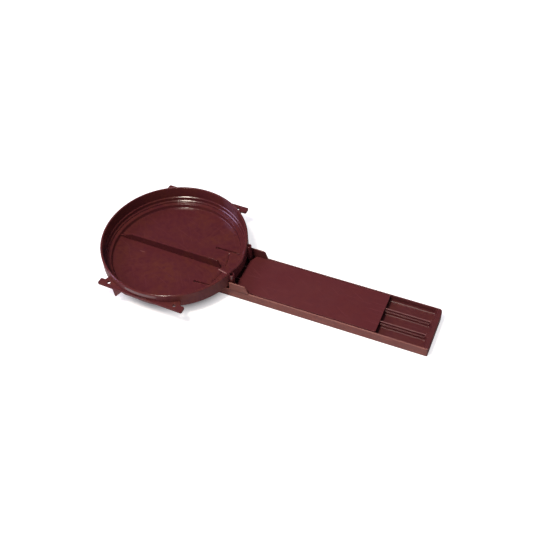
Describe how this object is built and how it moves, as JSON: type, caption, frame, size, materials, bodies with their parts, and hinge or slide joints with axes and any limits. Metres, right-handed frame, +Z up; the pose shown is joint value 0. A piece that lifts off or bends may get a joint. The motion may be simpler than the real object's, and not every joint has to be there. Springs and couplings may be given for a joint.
{
  "type": "hive entrance feeder",
  "caption": "Entrance feeder for a beehive: a round stepped syrup dish that plugs onto a long flat tray with ribbed troughs and a sliding cover plate.",
  "frame": {"origin": "middle of the object's outline at the height of the tray's flat underside, which is the surface the feeder stands on", "axes": "+X runs along the arm from the dish towards the tip that enters the hive, +Z is up, +Y completes a right-handed frame"},
  "size_m": [0.303, 0.13, 0.027],
  "materials": {
    "dish_plastic": "glossy dark red-brown injection moulded plastic",
    "tray_plastic": "semi-gloss red-brown injection moulded plastic",
    "cover_plastic": "satin dark red-brown moulded plastic sheet"
  },
  "bodies": {
    "tray": {"tray": "tray_plastic"},
    "dish": {"dish": "dish_plastic"},
    "cover": {"cover_plate": "cover_plastic"}
  },
  "joints": [
    {"name": "dish_lift", "type": "slide", "parent": "tray", "child": "dish", "axis": [0, 0, 1], "range_m": [0, 0.012]},
    {"name": "cover_slide", "type": "slide", "parent": "tray", "child": "cover", "axis": [1, 0, 0], "range_m": [0, 0.041]}
  ]
}
